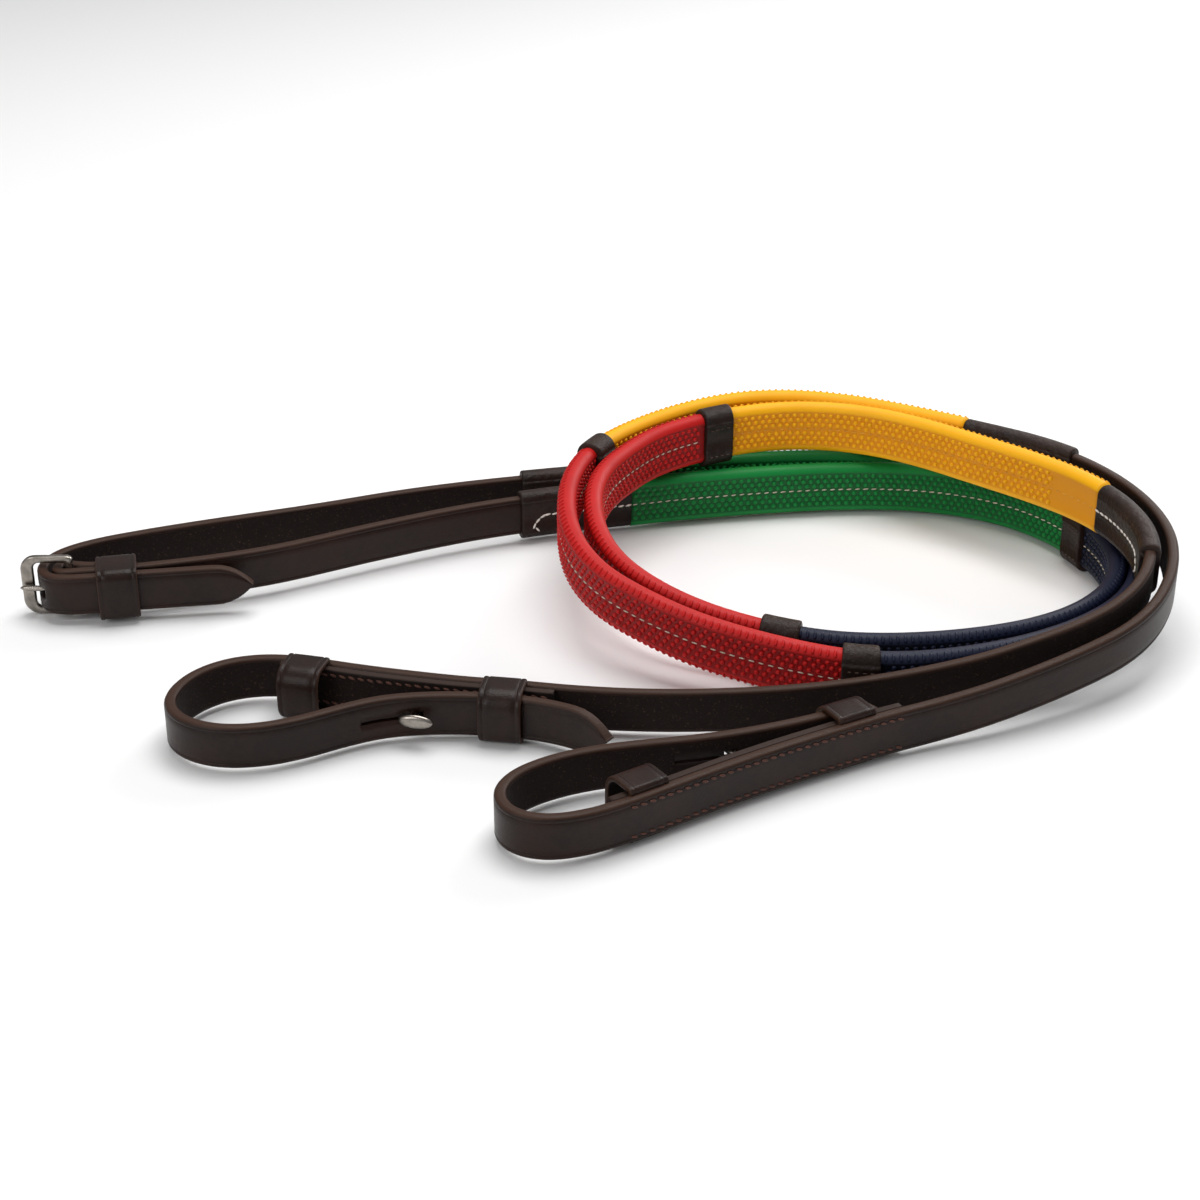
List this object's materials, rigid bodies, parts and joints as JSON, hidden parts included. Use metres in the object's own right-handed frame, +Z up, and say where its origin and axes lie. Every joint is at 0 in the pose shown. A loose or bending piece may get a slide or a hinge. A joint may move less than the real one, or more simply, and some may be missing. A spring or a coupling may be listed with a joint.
{
  "type": "riding reins",
  "caption": "Leather riding reins laid in a loose coil, with coloured rubber hand grips, leather hand stops, hook-stud billets and a buckled join.",
  "frame": {"origin": "centre of the bounding box in plan, on the surface the coil lies on", "axes": "+X along the coil's length from the buckled join towards the far bend, +Y away from the bit ends, +Z up"},
  "size_m": [0.4333, 0.2857, 0.0485],
  "materials": {
    "bridle_leather": "dark waxed bridle leather, soft sheen",
    "flesh_leather": "dark suede flesh side, dull",
    "green_rubber": "pimpled rubber",
    "navy_rubber": "pimpled rubber",
    "red_rubber": "pimpled rubber",
    "yellow_rubber": "pimpled rubber",
    "nickel": "satin nickel plate"
  },
  "bodies": {
    "reins": {"buckle_rein_bit_strap": "bridle_leather", "buckle_rein_buckle_strap": "bridle_leather", "buckle_rein_first_keeper": "bridle_leather", "buckle_rein_first_stop": "bridle_leather", "buckle_rein_green_grip": "green_rubber", "buckle_rein_grip_core": "flesh_leather", "buckle_rein_hook_stud": "nickel", "buckle_rein_inner_sleeve": "bridle_leather", "buckle_rein_lining": "flesh_leather", "buckle_rein_navy_grip": "navy_rubber", "buckle_rein_outer_sleeve": "bridle_leather", "buckle_rein_red_grip": "red_rubber", "buckle_rein_second_keeper": "bridle_leather", "buckle_rein_second_stop": "bridle_leather", "buckle_rein_third_stop": "bridle_leather", "buckle_rein_yellow_grip": "yellow_rubber", "centre_keeper": "bridle_leather", "pointed_rein_bit_strap": "bridle_leather", "pointed_rein_buckle_strap": "bridle_leather", "pointed_rein_first_keeper": "bridle_leather", "pointed_rein_first_stop": "bridle_leather", "pointed_rein_green_grip": "green_rubber", "pointed_rein_grip_core": "flesh_leather", "pointed_rein_hook_stud": "nickel", "pointed_rein_inner_sleeve": "bridle_leather", "pointed_rein_lining": "flesh_leather", "pointed_rein_navy_grip": "navy_rubber", "pointed_rein_outer_sleeve": "bridle_leather", "pointed_rein_red_grip": "red_rubber", "pointed_rein_second_keeper": "bridle_leather", "pointed_rein_second_stop": "bridle_leather", "pointed_rein_third_stop": "bridle_leather", "pointed_rein_yellow_grip": "yellow_rubber"},
    "frame": {"buckle_frame": "nickel"},
    "tongue": {"buckle_tongue": "nickel"}
  },
  "joints": [
    {"name": "frame_hinge", "type": "hinge", "parent": "reins", "child": "frame", "pos_m": [-0.1979, 0.0291, 0.0123], "axis": [0, 0, 1], "range_deg": [-8, 8]},
    {"name": "tongue_hinge", "type": "hinge", "parent": "frame", "child": "tongue", "pos_m": [-0.1979, 0.0291, 0.0123], "axis": [0, 0, 1], "range_deg": [0, 8]}
  ]
}
